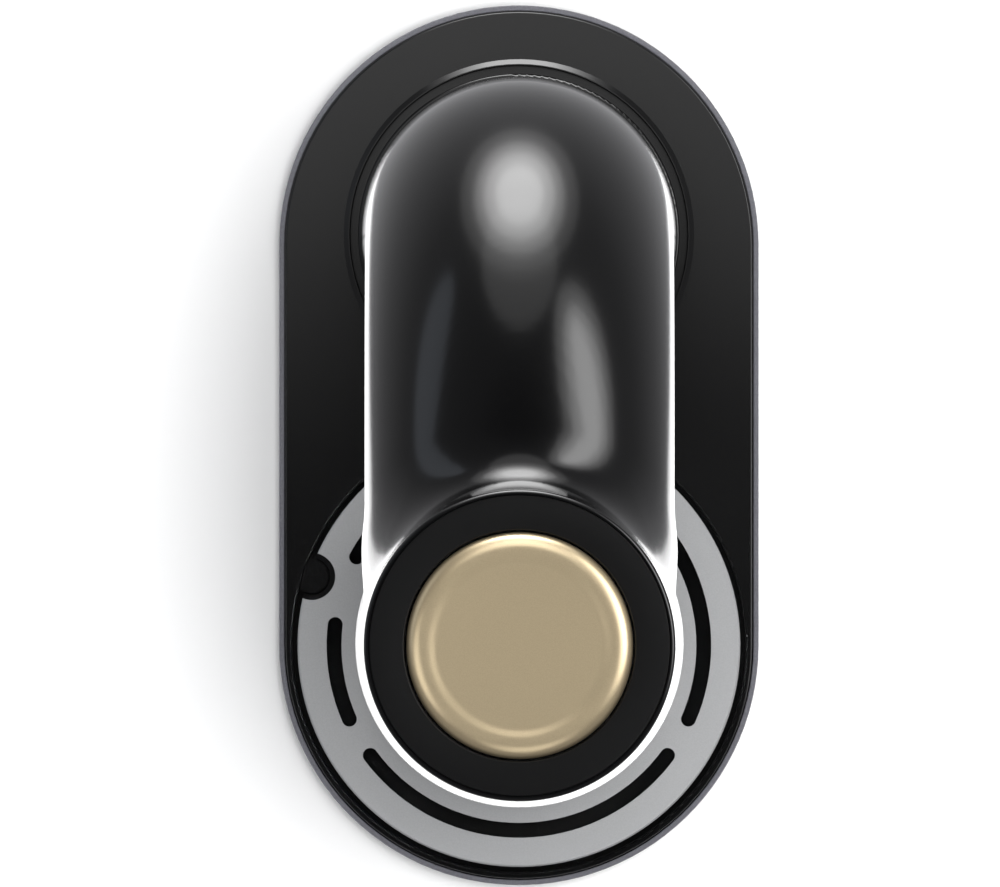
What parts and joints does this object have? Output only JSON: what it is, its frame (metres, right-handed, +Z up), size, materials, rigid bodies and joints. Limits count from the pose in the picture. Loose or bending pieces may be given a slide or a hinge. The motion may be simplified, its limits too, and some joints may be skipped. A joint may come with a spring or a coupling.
{
  "type": "sparkling water maker",
  "caption": "Countertop sparkling-water maker with a pipe-shaped gas tower, push-button head, screw-in bottle, gas cylinder and round drip tray.",
  "frame": {"origin": "centre of the footprint on the table, under the feet", "axes": "+Z up, +Y towards the gas tower at the back, -Y towards the user, +X to the right as seen from above with the tower at the top"},
  "size_m": [0.1318, 0.242, 0.4285],
  "materials": {
    "black_gloss": "high gloss moulded",
    "black_satin": "fine satin",
    "graphite_trim": "fine satin",
    "grey_plastic": "moulded, inside",
    "foot_rubber": "matt",
    "seal_rubber": "smooth",
    "steel": "plated",
    "grille_steel": "satin",
    "champagne_metal": "satin anodised",
    "brass": "machined",
    "cylinder_paint": "satin paint",
    "clear_plastic": "clear",
    "hose_plastic": "flexible tube"
  },
  "bodies": {
    "body": {"base_housing": "black_gloss", "base_trim": "graphite_trim", "base_bottom_plate": "black_satin", "rubber_feet": "foot_rubber", "base_screws": "steel", "cylinder_cup": "foot_rubber", "tower_collar": "black_gloss", "tower_screws": "steel", "lower_housing": "black_gloss", "upper_housing": "black_gloss", "housing_screws": "steel", "tower_magnets": "steel", "head_bezel": "black_satin", "button_guide": "grey_plastic", "button_spring": "steel", "valve_bridge": "grey_plastic", "bridge_screws": "steel", "cylinder_seat": "brass", "seat_screws": "steel", "seat_gasket": "seal_rubber", "lever_bracket": "steel", "lever_pin": "steel", "hose_fittings": "brass", "gas_hose": "hose_plastic", "tilt_trunnions": "steel", "head_bottom_ring": "black_satin"},
    "button": {"button_cap": "champagne_metal", "button_stem": "grey_plastic"},
    "lever": {"valve_lever": "steel"},
    "pin": {"valve_pin": "steel"},
    "gas_cylinder": {"co2_cylinder": "cylinder_paint", "co2_valve_body": "brass"},
    "back_cover": {"rear_cover": "black_gloss", "cover_magnets": "steel"},
    "carbonation_head": {"nozzle_block": "grey_plastic", "pressure_relief_valve": "brass", "bottle_socket": "black_satin", "socket_screws": "steel", "bottle_seal": "seal_rubber", "carbonation_nozzle": "grey_plastic"},
    "water_bottle": {"bottle": "clear_plastic", "bottle_base_cup": "black_gloss"},
    "drip_tray": {"drip_grille": "grille_steel", "drip_basin": "black_satin"}
  },
  "joints": [
    {"name": "button_press", "type": "slide", "parent": "body", "child": "button", "axis": [0, 0, -1], "range_m": [0, 0.008], "stiffness_N_per_m": 600, "springref_m": -0.004, "deforming": ["button_spring"]},
    {"name": "lever_swing", "type": "hinge", "parent": "body", "child": "lever", "pos_m": [0, 0.07, 0.364], "axis": [1, 0, 0], "range_deg": [0, 3.8]},
    {"name": "pin_press", "type": "slide", "parent": "gas_cylinder", "child": "pin", "axis": [0, 0, -1], "range_m": [0, 0.0012]},
    {"name": "cylinder_turn", "type": "hinge", "parent": "body", "child": "gas_cylinder", "pos_m": [0, 0.057, 0.012], "axis": [0, 0, 1], "range_deg": [0, 720]},
    {"name": "rear_cover_open", "type": "hinge", "parent": "body", "child": "back_cover", "pos_m": [0, 0.1, 0.0265], "axis": [-1, 0, 0], "range_deg": [0, 35]},
    {"name": "head_tilt", "type": "hinge", "parent": "body", "child": "carbonation_head", "pos_m": [0, -0.053, 0.33], "axis": [-1, 0, 0], "range_deg": [0, 15]},
    {"name": "bottle_unscrew", "type": "hinge", "parent": "carbonation_head", "child": "water_bottle", "pos_m": [0, -0.053, 0.29], "axis": [0, 0, 1], "range_deg": [0, 540]},
    {"name": "tray_lift", "type": "slide", "parent": "body", "child": "drip_tray", "axis": [0, 0, 1], "range_m": [0, 0.011]}
  ],
  "couplings": [
    {"joint": "lever_swing", "follows": "button_press", "rad_per_m": 8.1301},
    {"joint": "pin_press", "follows": "button_press", "ratio": 0.1057}
  ]
}
